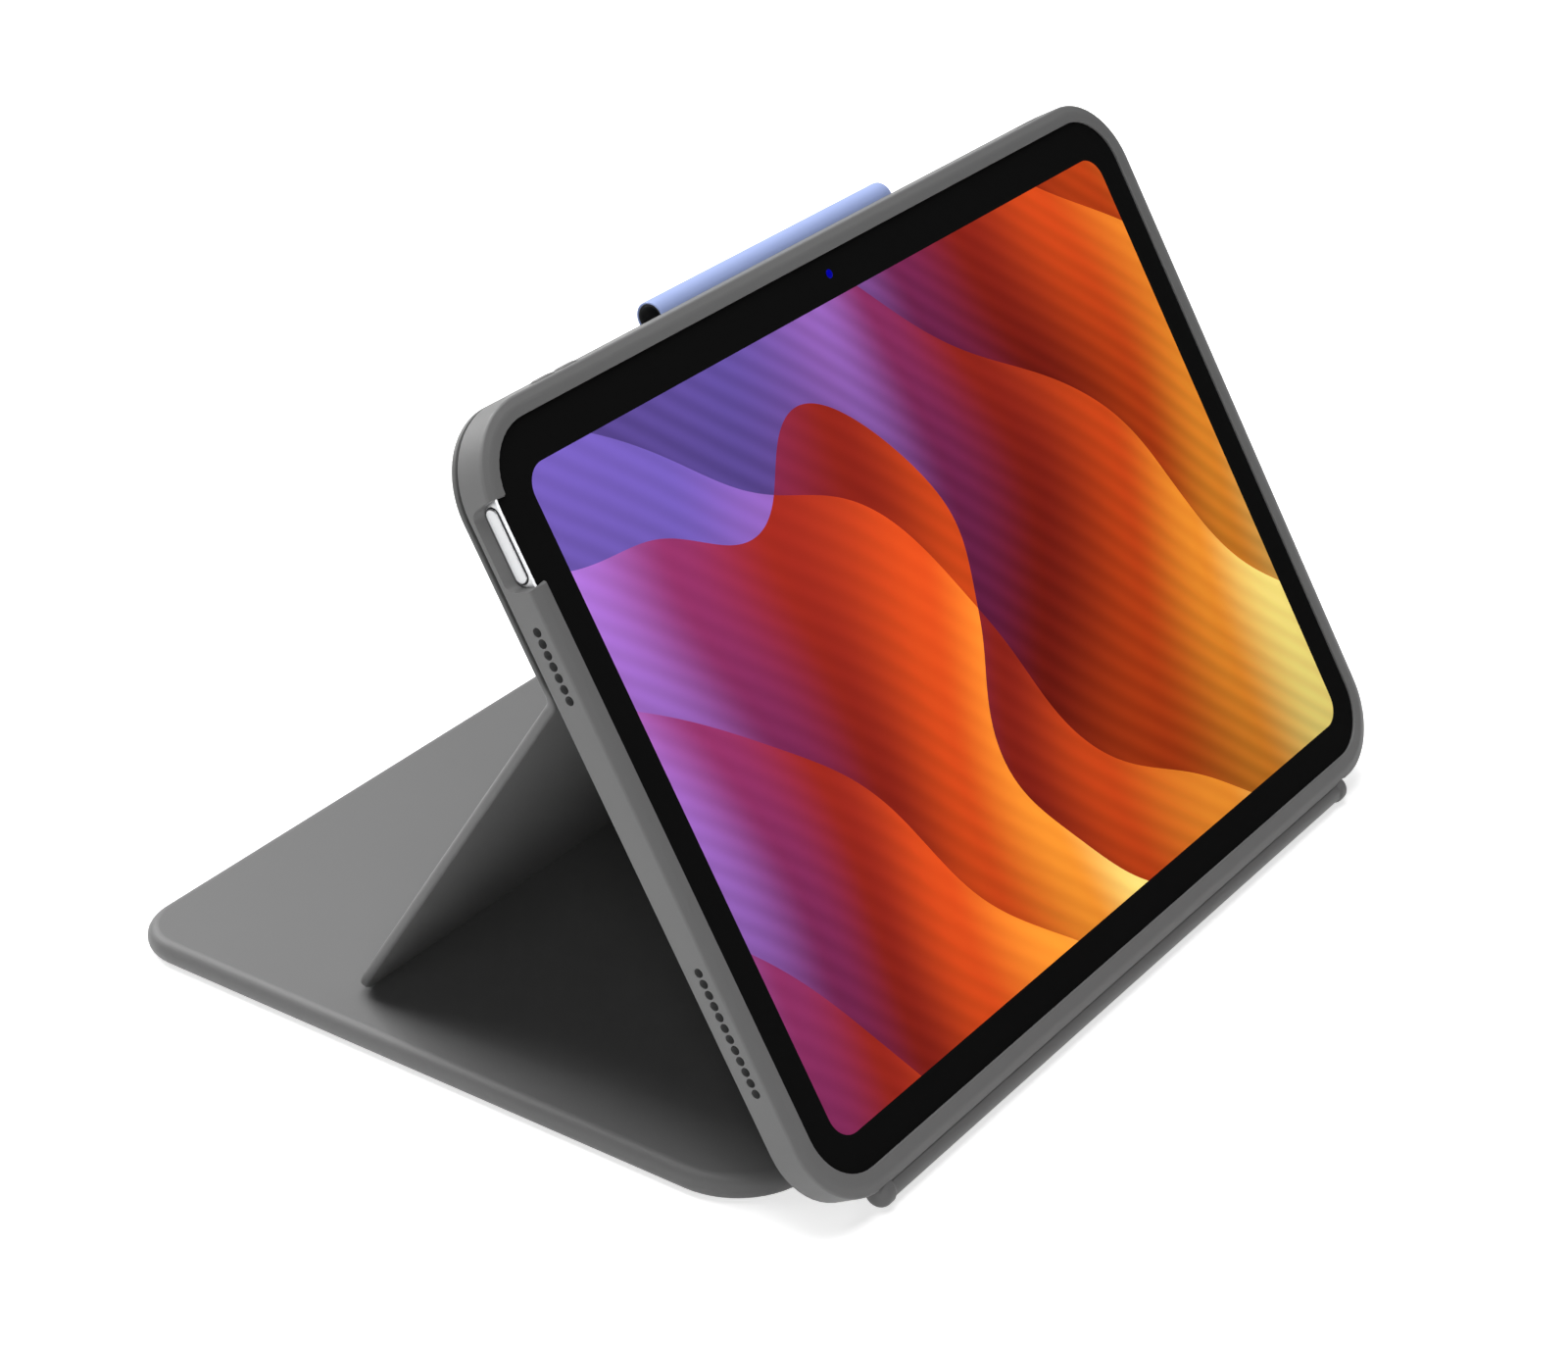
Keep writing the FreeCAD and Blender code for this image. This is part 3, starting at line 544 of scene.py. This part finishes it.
def screen_picture():
    """Lit screen with a plain abstract picture: layered ribbons that run from violet over red to yellow."""
    material, tree, shader = new_material("lit_screen", SCREEN_PLAIN, roughness=0.2, specular=0.03)
    low, high = (np.array(corner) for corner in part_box("tablet_display"))
    size = high - low
    half = math.hypot(size[1], size[2]) / 2
    place = add_node(tree, "ShaderNodeTexCoord", {}).outputs["Object"]
    flat = add_node(tree, "ShaderNodeMapping", {"Vector": place}, vector_type="TEXTURE",
                    Location=(low + high) / 2, Rotation=(TILT, 0, 0), Scale=(half, half, 1))
    flat = flat.outputs["Vector"]
    folds, pleats, threads = (ribbons(tree, flat, *ribbon) for ribbon in (FOLDS, PLEATS, THREADS))
    slope = add_node(tree, "ShaderNodeVectorMath", {0: flat}, operation="DOT_PRODUCT")
    slope.inputs[1].default_value = HUE_SLOPE
    hue = mixed(tree, slope.outputs["Value"], folds, FOLD_HUE)
    hue = mixed(tree, hue, pleats, PLEAT_HUE)
    hue = add_node(tree, "ShaderNodeMath", {0: hue}, operation="ADD")
    hue.inputs[1].default_value = HUE_START
    colour = colour_ramp(tree, hue.outputs[0], PICTURE_COLOURS)
    shade = mixed(tree, ranged(tree, folds, *FOLD_SHADE), pleats, PLEAT_SHADE)
    shade = mixed(tree, shade, threads, THREAD_SHADE)
    picture = add_node(tree, "ShaderNodeVectorMath", {0: colour, "Scale": shade}, operation="SCALE")
    tree.links.new(picture.outputs["Vector"], shader.inputs["Base Color"])
    tree.links.new(picture.outputs["Vector"], shader.inputs["Emission Color"])
    shader.inputs["Emission Strength"].default_value = SCREEN_GLOW
    return material


def dress(material, *nodes):
    """Puts a finish on CAD nodes."""
    for node in nodes:
        NODES[node].data.materials.clear()
        NODES[node].data.materials.append(material)


# Pieces

class BuildTray(bpy.types.Operator):
    """Finish the moulded tray, and make its volume covers and the dark film behind its speaker holes, a speaker
    grille that also paints shade into the holes
    """

    bl_idname = "keyboard_case.build_tray"
    bl_label = "Tray"

    def execute(self, context):
        sizes, colours = context.scene.case_sizes, context.scene.case_colours
        grey = moulded(colours)
        dress(grey, "tray_shell")
        dress(microfibre("tray_lining_finish", colours.lining), "tray_lining")
        for name in ("volume_up", "volume_down"):
            self.volume_cover(grey, name)
        for side in (-1, 1):
            for part, up, length in SPEAKER_ROWS:
                self.speaker_grille_shade(sizes, side, part, up, length)
        return {"FINISHED"}

    def volume_cover(self, grey, name):
        """Soft-edged pill that stands a little proud of the tray's top wall."""
        node = name + "_cover"
        length, width, height = (reach_size(node, way) for way in (ACROSS, OUT, UP))
        profile = cap_profile(width, -height / 2, height / 2, COVER_EDGE, COVER_CROWN)
        points = domed_pill(box_middle(node), ACROSS, -OUT, length, width, profile)
        cover = surface(name + "_button", points, grey)
        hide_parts(node)
        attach(cover, name)

    def speaker_grille_shade(self, sizes, side, part, up, length):
        """Thin black film between tablet and tray wall, behind a row of holes: the tablet's dark speaker grille,
        and painted shade that makes the holes look black.
        """
        black = polished("speaker_mesh_black", (0.004, 0.004, 0.004), roughness=0.7, specular=0.1)
        middle = in_tray(sizes, side * sizes.speaker_x, up, sizes.speaker_out)
        width, half = sizes.speaker_width, SPEAKER_FILM / 2
        points = domed_pill(middle, UP, side * OUT, length, width, cap_profile(width, -half, half, half / 2))
        name = "speaker_backing_{}_{}".format(part, "left" if side < 0 else "right")
        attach(surface(name, points, black), "tray")


class BuildBackSkin(bpy.types.Operator):
    """Make the back skin: the upper cover, the bend and the kickstand flap as one sheet"""

    bl_idname = "keyboard_case.build_back_skin"
    bl_label = "Back skin and kickstand"

    def execute(self, context):
        sizes, colours = context.scene.case_sizes, context.scene.case_colours
        points, start, end = self.sheet(sizes)
        skin = surface("back_skin", points, soft_skin(colours))
        camera = box_middle("tablet_rear_camera")
        cut_hole(skin, camera, OUT, ACROSS, CAMERA_HOLE_R, CAMERA_HOLE_DEPTH)
        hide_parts("back_cover", "kickstand_outer_skin", "kickstand_inner_skin")
        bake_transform(skin)
        board = grained("flap_board", (0.07, 0.07, 0.07), roughness=0.7, grain=0.001, depth=0.00002)
        dress(board, "kickstand_board")
        return {"FINISHED"}

    def sheet(self, sizes):
        """Path down the tray's back, round an arc and down the flap. The distance s runs from the top edge.
        The half width rounds the cover's corners, narrows to the flap and rounds its foot. The thickness
        grows through the bend."""
        opening = math.radians(JOINTS["kickstand_fold"]["range_deg"][1])
        flap_way = -UP * math.cos(opening) - OUT * math.sin(opening)
        middle_out = sizes.cover_thick / 2 - sizes.cover_back
        to_corner = (middle_out - sizes.hinge_out) / (flap_way @ OUT)
        corner = HINGE + to_corner * flap_way
        corner_up = (corner - tray_origin(sizes)) @ UP
        tangent_length = sizes.bend_radius * math.tan(opening / 2)
        bend_from = sizes.cover_top - corner_up - tangent_length
        bend_to = bend_from + sizes.bend_radius * opening
        total = bend_to + sizes.flap_length - to_corner - tangent_length
        s = np.unique(np.concatenate([
            round_steps(sizes.cover_corner, 30),
            np.linspace(sizes.cover_corner, bend_from, 16),
            np.linspace(bend_from, bend_to, 26),
            np.linspace(bend_to, total - sizes.flap_corner, 44),
            total - round_steps(sizes.flap_corner, 24),
        ]))
        turn = np.clip((s - bend_from) / sizes.bend_radius, 0, opening)[:, None]
        top = in_tray(sizes, 0.0, sizes.cover_top, middle_out)
        bend_start = top - bend_from * UP
        centre = bend_start - sizes.bend_radius * OUT
        way = -UP * np.cos(turn) - OUT * np.sin(turn)
        normal = OUT * np.cos(turn) - UP * np.sin(turn)
        path = centre + sizes.bend_radius * normal
        path = path + np.minimum(s - bend_from, 0)[:, None] * way + np.maximum(s - bend_to, 0)[:, None] * way
        to_flap = eased((s - bend_from) / (bend_to - bend_from))
        down_flap = np.clip((s - bend_to) / (total - bend_to), 0, 1)
        flap_half = sizes.flap_half_top + (sizes.flap_half_foot - sizes.flap_half_top) * down_flap
        half = sizes.cover_half + (flap_half - sizes.cover_half) * to_flap
        half = half + round_end(s, sizes.cover_corner) - sizes.cover_corner
        half = half + round_end(total - s, sizes.flap_corner) - sizes.flap_corner
        thick = sizes.cover_thick + (sizes.flap_thick - sizes.cover_thick) * to_flap
        thick = thick * round_end(s, sizes.cover_thick / 2) / (sizes.cover_thick / 2)
        thick = thick * round_end(total - s, sizes.flap_thick / 2) / (sizes.flap_thick / 2)
        bend_end = centre + sizes.bend_radius * (OUT * math.cos(opening) - UP * math.sin(opening))
        return pill_sheet(path, normal, half, thick / 2), bend_start, bend_end


class BuildPencilLoop(bpy.types.Operator):
    """Make the pencil loop: a blue band and its dark lining"""

    bl_idname = "keyboard_case.build_pencil_loop"
    bl_label = "Pencil loop"

    def execute(self, context):
        sizes, colours = context.scene.case_sizes, context.scene.case_colours
        blue = grained("loop_skin_blue", colours.loop, roughness=0.55, grain=0.0004, depth=0.00003,
                       follow=True, sheen=0.1)
        dark = microfibre("loop_lining_dark", colours.lining)
        outer = self.band(sizes, 0.0, sizes.loop_skin, 0.0)
        skin = surface("pencil_loop_band", outer, blue, wrap_rows=True)
        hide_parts("pencil_loop_skin")
        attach(skin, "tray")
        inner = self.band(sizes, sizes.loop_skin, sizes.loop_lining, LINING_SHORT)
        lining = surface("pencil_loop_inner", inner, dark, wrap_rows=True)
        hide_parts("pencil_loop_lining")
        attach(lining, "tray")
        return {"FINISHED"}

    def band(self, sizes, inset, thick, short):
        """Closed band: a pill outline whose wall section is a thin upright pill along X, so that both open
        ends of the loop have round lips. Section points run along the outside, round one lip, back inside
        and round the other."""
        middle = box_middle("pencil_loop_skin")
        along = np.linspace(-1, 1, 24) * (sizes.loop_half - short - thick / 2)
        turn = np.linspace(math.pi / 2, -math.pi / 2, 8)[1:-1]
        lip = thick / 2 * np.cos(turn)
        x = np.concatenate([along, along[-1] + lip, along[::-1], along[0] - lip])
        level, rim = np.ones(len(along)), np.sin(turn)
        depth = inset + thick / 2 * (1 - np.concatenate([level, rim, -level, -rim]))
        half_straight = (sizes.loop_height - sizes.loop_depth) / 2
        rings = pill_rings(half_straight, sizes.loop_depth / 2 - depth, 40)
        return middle + x[:, None, None] * ACROSS + rings[..., :1] * UP + rings[..., 1:] * OUT


class BuildDockingBar(bpy.types.Operator):
    """Make the docking bar with its thicker ends, and the soft strip that joins it to the deck"""

    bl_idname = "keyboard_case.build_docking_bar"
    bl_label = "Docking bar and hinge strip"

    def execute(self, context):
        sizes, colours = context.scene.case_sizes, context.scene.case_colours
        bar = surface("docking_roll", self.roll(sizes), soft_skin(colours))
        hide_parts("docking_bar", "docking_bar_ends")
        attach(bar, "tray")
        self.strips(sizes, colours)
        black = grained("contact_black", (0.01, 0.01, 0.01), roughness=0.5, grain=0.0004, depth=0.00002)
        dress(black, "contact_block")
        gold = grained("contact_gold", (0.8, 0.55, 0.2), roughness=0.25, grain=0.0003, depth=0.00001,
                       metallic=1.0)
        dress(gold, "contact_pins")
        film = grained("ribbon_film", (0.3, 0.14, 0.03), roughness=0.4, grain=0.002, depth=0.00001)
        dress(film, "ribbon_cable")
        steel = grained("magnet_plate", (0.5, 0.5, 0.5), roughness=0.3, grain=0.001, depth=0.00001,
                        metallic=1.0)
        dress(steel, "docking_bar_magnets", "kickstand_magnets", "deck_magnets")
        return {"FINISHED"}

    def roll(self, sizes):
        """Surface of revolution along X: the radius steps up smoothly to the ends, which close in a quarter
        round."""
        low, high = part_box("docking_bar_ends")
        half, middle = (high.x - low.x) / 2, (high.x + low.x) / 2
        rounding = sizes.bar_end_radius * BAR_END_ROUND
        near = round_steps(rounding, 14)
        steps = np.linspace(rounding, 2 * sizes.bar_end_length, 22)[1:]
        left = np.concatenate([near, steps]) - half
        x = np.concatenate([left, np.linspace(left[-1], -left[-1], 40)[1:-1], -left[::-1]])
        from_end = half - np.abs(x)
        swell = 1 - eased((from_end - sizes.bar_end_length) / BAR_STEP)
        radius = sizes.bar_radius + (sizes.bar_end_radius - sizes.bar_radius) * swell
        radius = radius * round_end(from_end, rounding) / rounding
        turn = np.linspace(0, 2 * math.pi, 49)[:-1]
        y = BAR[1] + radius[:, None] * np.cos(turn)
        z = BAR[2] + radius[:, None] * np.sin(turn)
        return np.stack([np.broadcast_to(x[:, None] + middle, y.shape), y, z], axis=-1)

    def strips(self, sizes, colours):
        """Two sheets that overlap halfway: one leaves the roll, the other climbs to the deck's edge."""
        low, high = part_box("hinge_strip")
        level, middle = (low.z + high.z) / 2, (BAR[1] + DECK_EDGE[1]) / 2
        deck_radius = DECK_EDGE[2]
        bar_y = BAR[1] + STRIP_FROM_BAR
        edge_y = DECK_EDGE[1] - deck_radius + STRIP_IN_DECK
        rolled = self.strip_sheet(sizes, bar_y, middle + STRIP_LAP, level, level, 1.0)
        climb_to = DECK_EDGE[2] - STRIP_SINK
        lifted = self.strip_sheet(sizes, middle - STRIP_LAP, edge_y, level, climb_to, STRIP_THIN)
        skin = soft_skin(colours)
        first = surface("hinge_strip_at_bar", rolled, skin)
        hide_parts("hinge_strip")
        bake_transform(first)
        second = surface("hinge_strip_at_deck", lifted, skin)
        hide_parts("hinge_strip")
        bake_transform(second)

    def strip_sheet(self, sizes, start, end, low, high, share):
        """Sheet from start to end along Y, a share of the full thickness, whose height eases from low to high
        in its second half."""
        rounding = sizes.strip_thick * share / 2
        y = np.unique(np.concatenate([
            start + round_steps(rounding, 6),
            np.linspace(start + rounding, end - rounding, 44),
            end - round_steps(rounding, 6),
        ]))
        z = low + (high - low) * eased((y - start) / (end - start) * STRIP_RISE_RATE - STRIP_RISE_WAIT)
        path = np.stack([0 * y, y, z], axis=-1)
        slope = np.gradient(z, y)
        normal = np.stack([0 * y, -slope, 1 + 0 * y], axis=-1)
        normal /= np.linalg.norm(normal, axis=1)[:, None]
        half_thick = np.minimum(round_end(y - start, rounding), round_end(end - y, rounding))
        return pill_sheet(path, normal, np.full(len(y), sizes.strip_half), half_thick)


class BuildDeck(bpy.types.Operator):
    """Finish the keyboard deck, its keys, its trackpad and what is inside it"""

    bl_idname = "keyboard_case.build_deck"
    bl_label = "Keyboard deck"

    def execute(self, context):
        colours = context.scene.case_colours
        skin = grained("deck_skin", colours.skin, roughness=0.52, grain=0.0005, depth=0.00004, sheen=0.05)
        dress(skin, "deck_shell")
        face = tuple(KEY_FACE_TONE * part for part in colours.case)
        dress(grained("key_face_grey", face, roughness=0.6, grain=0.0005, depth=0.00004), "key_frame")
        keycap = grained("keycap_grey", colours.keys, roughness=0.5, grain=0.0003, depth=0.00002)
        slots = {part["node"]: part["material_slot"] for part in frame["record"]["subparts"]}
        dress(keycap, *(node for node in NODES if slots[node] == "keycap"))
        pad = grained("trackpad_grey", colours.keys, roughness=0.3, grain=0.0006, depth=0.00001)
        dress(pad, "trackpad")
        plate = grained("plate_metal", (0.5, 0.5, 0.5), roughness=0.4, grain=0.001, depth=0.00002,
                        metallic=1.0)
        dress(plate, "deck_plate")
        film = grained("circuit_film", (0.55, 0.55, 0.5), roughness=0.4, grain=0.002, depth=0.00001)
        dress(film, "circuit_sheet")
        rubber = grained("dome_rubber", (0.6, 0.6, 0.58), roughness=0.6, grain=0.001, depth=0.00002)
        dress(rubber, "key_domes")
        green = grained("board_green", (0.01, 0.06, 0.02), roughness=0.4, grain=0.001, depth=0.00002)
        dress(green, "controller_board")
        return {"FINISHED"}


class BuildTablet(bpy.types.Operator):
    """Finish the tablet: metal body, black glass, lit screen, cameras and buttons"""

    bl_idname = "keyboard_case.build_tablet"
    bl_label = "Tablet"

    def execute(self, context):
        colours = context.scene.case_colours
        metal = blasted_metal(colours)
        dress(metal, "tablet_body", "tablet_volume_up_key", "tablet_volume_down_key")
        dress(polished("border_glass", colours.glass, roughness=0.1, specular=0.03), "tablet_glass")
        sensor = polished("sensor_glass", colours.glass, roughness=0.02, specular=0.04)
        dress(sensor, "tablet_sensor_windows")
        ring = polished("camera_ring", (0.02, 0.02, 0.022), roughness=0.2, specular=0.5)
        dress(ring, "tablet_rear_camera")
        dress(screen_picture(), "tablet_display")
        self.power_button(metal)
        blue = polished("lens_blue", colours.lens, roughness=0.1, specular=0.3)
        front = box_middle("tablet_front_camera")
        self.lens("front_lens", front, UP, FRONT_LENS_R, FRONT_LENS_TOP, blue, "tablet_front_camera")
        dark = polished("lens_dark", colours.glass, roughness=0.05)
        behind = box_middle("tablet_rear_camera") - REAR_LENS_BACK * OUT
        self.lens("rear_lens", behind, -UP, REAR_LENS_R, REAR_LENS_TOP, dark)
        return {"FINISHED"}

    def power_button(self, metal):
        """Long pill with a round edge, proud of the tablet's side."""
        node = "tablet_power_button"
        length, width, depth = (reach_size(node, way) for way in (UP, OUT, ACROSS))
        profile = cap_profile(width, -depth / 2, depth / 2, BUTTON_EDGE, BUTTON_CROWN)
        points = domed_pill(box_middle(node), UP, -OUT, length, width, profile, 28)
        button = surface("power_button", points, metal)
        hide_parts(node)
        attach(button, "power_button")

    def lens(self, name, middle, beside, radius, top, glass, node=None):
        """Low glass dome, which takes the place of a CAD node where one is named."""
        width = 2 * radius
        profile = cap_profile(width, -top, top, LENS_EDGE, LENS_CROWN)
        dome = surface(name, domed_pill(middle, ACROSS, beside, width, width, profile, 32), glass)
        if node:
            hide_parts(node)
        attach(dome, "tray")


class BuildStage(bpy.types.Operator):
    """Make the floor, the soft lamps, the world and the camera"""

    bl_idname = "keyboard_case.build_stage"
    bl_label = "Stage"

    def execute(self, context):
        stage = context.scene.case_stage
        self.floor()
        self.sky(context.scene, stage.sky)
        for name, place, width in LAMPS:
            self.lamp(name, place, width, getattr(stage, name))
        camera = bpy.data.cameras.new("camera")
        camera.lens, camera.sensor_width = stage.lens, SENSOR_WIDTH
        holder = bpy.data.objects.new("camera", camera)
        context.scene.collection.objects.link(holder)
        holder.location = stage.eye
        holder.rotation_euler = Vector(stage.look).to_track_quat("-Z", "Y").to_euler()
        context.scene.camera = holder
        context.scene.view_settings.view_transform = "Standard"
        return {"FINISHED"}

    def floor(self):
        """Wide pale disc at table height."""
        turn = np.linspace(0, 2 * math.pi, 65)[:-1]
        radius = np.array(FLOOR_RINGS)[:, None]
        x, y = radius * np.cos(turn), radius * np.sin(turn)
        floor = surface("floor", np.stack([x, y, 0 * x + FLOOR_Z], axis=-1), self.floor_white())

    def floor_white(self):
        """Pale floor that shows white to the camera and in reflections, and keeps the shadow on it."""
        material = grained("floor_white", FLOOR_TONE, roughness=0.7, grain=0.002, depth=0.0, specular=0.2)
        tree = material.node_tree
        shader = tree.nodes["Principled BSDF"]
        shader.inputs["Emission Color"].default_value = (1, 1, 1, 1)
        rays = add_node(tree, "ShaderNodeLightPath", {}).outputs
        seen = mixed(tree, rays["Is Camera Ray"], rays["Is Glossy Ray"], 1.0)
        seen = mixed(tree, seen, rays["Is Transmission Ray"], 1.0)
        glow = add_node(tree, "ShaderNodeMath", {0: seen}, operation="MULTIPLY")
        glow.inputs[1].default_value = FLOOR_GLOW
        tree.links.new(glow.outputs[0], shader.inputs["Emission Strength"])
        return material

    def sky(self, scene, strength):
        """Even white light from all round."""
        scene.world = bpy.data.worlds.new("studio")
        scene.world.use_nodes = True
        background = scene.world.node_tree.nodes["Background"]
        background.inputs["Color"].default_value = (1, 1, 1, 1)
        background.inputs["Strength"].default_value = strength

    def lamp(self, name, place, size, power):
        """Square soft lamp that faces the case."""
        light = bpy.data.lights.new(name, "AREA")
        light.energy, light.size = power, size
        holder = bpy.data.objects.new(name, light)
        bpy.context.scene.collection.objects.link(holder)
        holder.location = place
        holder.rotation_euler = (LAMP_AIM - Vector(place)).to_track_quat("-Z", "Y").to_euler()


class CasePanel(bpy.types.Panel):
    """Lists the pieces of the keyboard case"""

    bl_idname = "VIEW3D_PT_keyboard_case"
    bl_label = "Keyboard case"
    bl_space_type = "VIEW_3D"
    bl_region_type = "UI"
    bl_category = "Case"

    def draw(self, context):
        for operator in OPERATORS:
            self.layout.operator(operator.bl_idname)


GROUPS = {"case_sizes": CaseSizes, "case_colours": CaseColours, "case_stage": CaseStage}
OPERATORS = (BuildTray, BuildBackSkin, BuildPencilLoop, BuildDockingBar, BuildDeck, BuildTablet, BuildStage)


def register():
    for kind in (*GROUPS.values(), *OPERATORS, CasePanel):
        bpy.utils.register_class(kind)
    for name, group in GROUPS.items():
        setattr(bpy.types.Scene, name, PointerProperty(type=group))


def unregister():
    for name in GROUPS:
        delattr(bpy.types.Scene, name)
    for kind in (CasePanel, *reversed(OPERATORS), *reversed(GROUPS.values())):
        bpy.utils.unregister_class(kind)


def main():
    register()
    bpy.ops.keyboard_case.build_tray()
    bpy.ops.keyboard_case.build_back_skin()
    bpy.ops.keyboard_case.build_pencil_loop()
    bpy.ops.keyboard_case.build_docking_bar()
    bpy.ops.keyboard_case.build_deck()
    bpy.ops.keyboard_case.build_tablet()
    bpy.ops.keyboard_case.build_stage()


if __name__ == "__main__":
    main()
